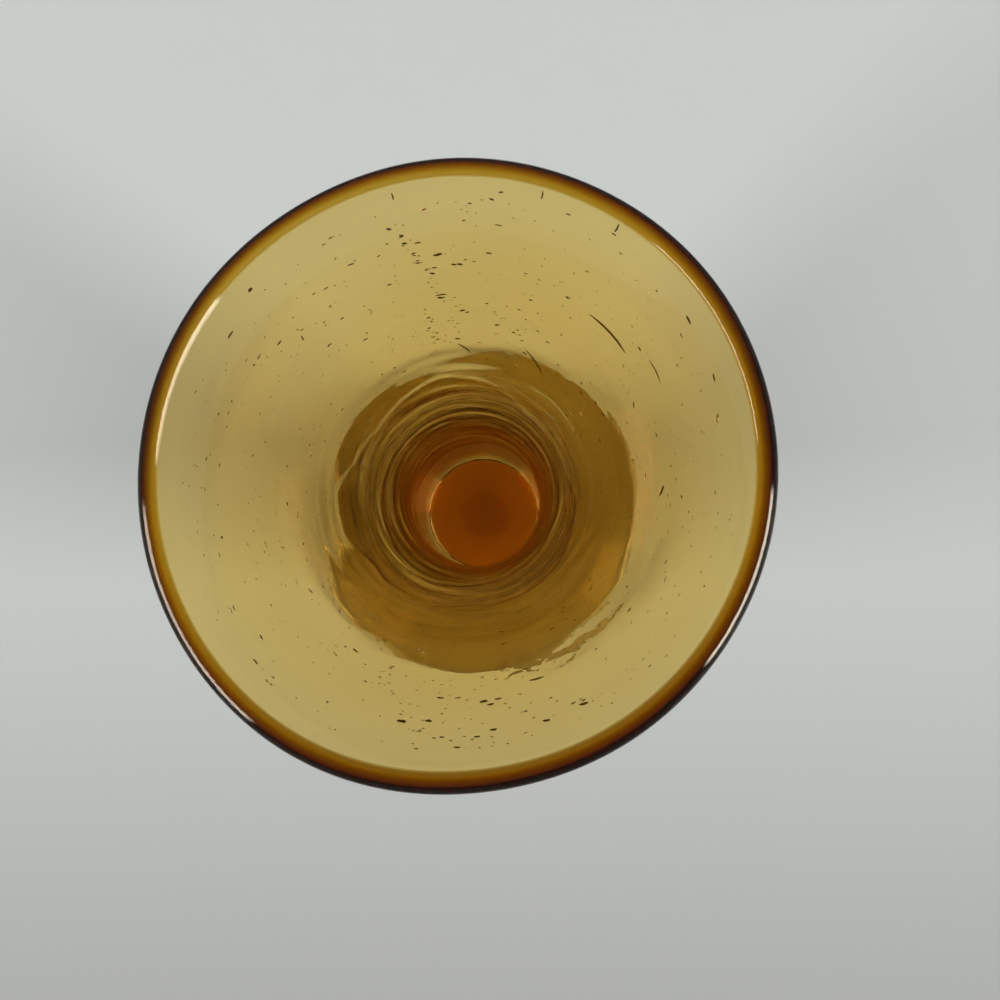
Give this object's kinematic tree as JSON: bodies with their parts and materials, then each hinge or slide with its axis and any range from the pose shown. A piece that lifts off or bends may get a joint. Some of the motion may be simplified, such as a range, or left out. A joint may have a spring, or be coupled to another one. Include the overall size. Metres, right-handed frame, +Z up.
{
  "type": "footed glass vase",
  "caption": "Amber glass trumpet vase: flared mouth with a lip wrap, narrow waist, merese and arched disc foot.",
  "frame": {"origin": "centre of the flat ring that the foot rests on, at table level", "axes": "+Z up along the axis that every piece is turned about, from the foot to the mouth"},
  "size_m": [0.14, 0.14, 0.2],
  "materials": {
    "amber_glass": "fire-polished transparent amber with seed bubbles",
    "deep_amber_glass": "fire-polished transparent deep amber with seed bubbles",
    "ground_amber_glass": "broken glass left matt and slightly rough"
  },
  "bodies": {
    "root": {"blown_body": "amber_glass", "lip_wrap": "deep_amber_glass", "merese": "deep_amber_glass", "disc_foot": "amber_glass", "pontil_seal": "ground_amber_glass"}
  },
  "joints": []
}
